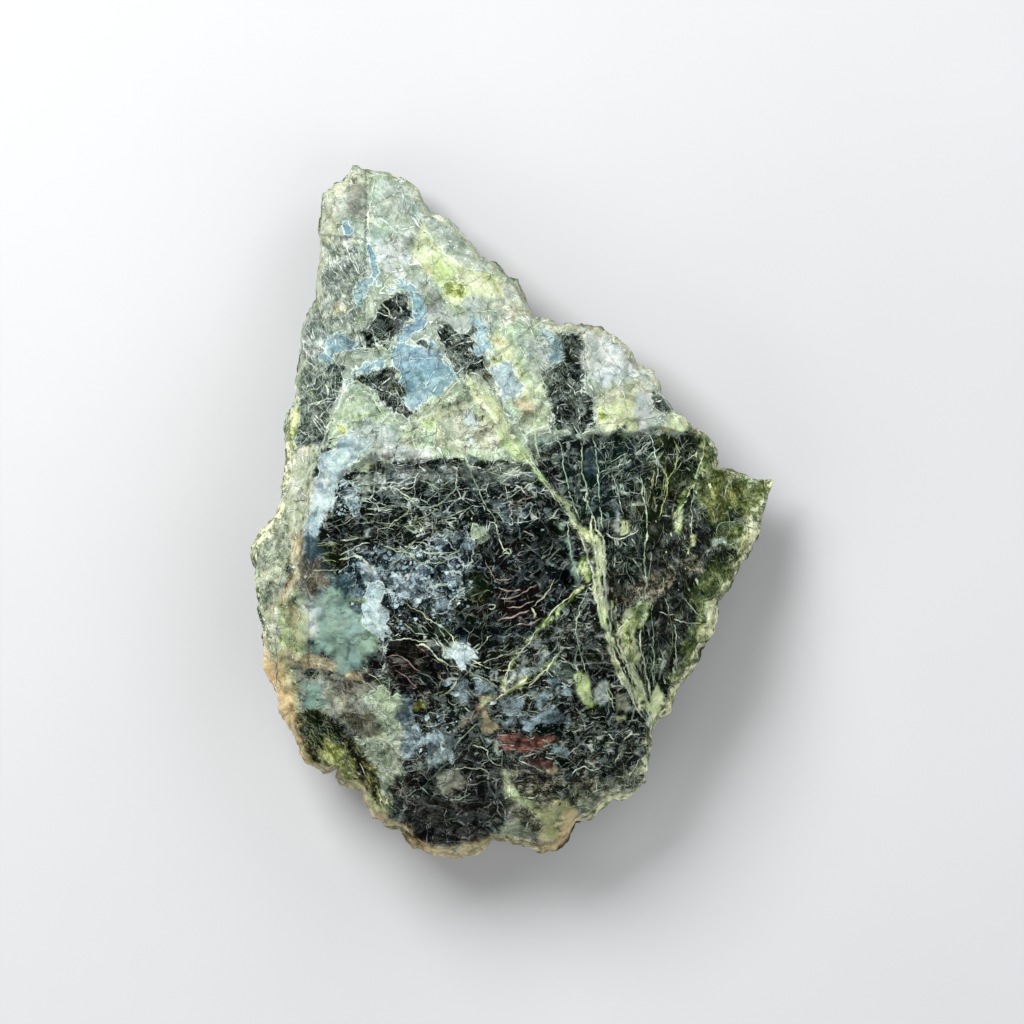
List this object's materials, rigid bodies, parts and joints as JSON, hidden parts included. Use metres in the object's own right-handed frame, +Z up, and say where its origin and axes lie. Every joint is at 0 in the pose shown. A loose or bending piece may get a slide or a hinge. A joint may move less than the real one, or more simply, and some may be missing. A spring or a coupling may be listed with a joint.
{
  "type": "antigorite specimen",
  "caption": "Loose lump of antigorite lying on its back: tapered horn, wing, ledges, a dark hollow and standing veins on its broken face.",
  "frame": {"origin": "middle of the bounding box in X and Y, at the height of the flat underside that the stone rests on", "axes": "+Y from the lobed foot towards the tip of the horn, +X towards the wing, +Z up out of the broken face"},
  "size_m": [0.078, 0.1038, 0.0334],
  "materials": {
    "stone": "waxy, half-glossy broken surface, dark green with pale yellow-green rims and veins and blue-grey flakes"
  },
  "bodies": {
    "root": {"stone": "stone"}
  },
  "joints": []
}
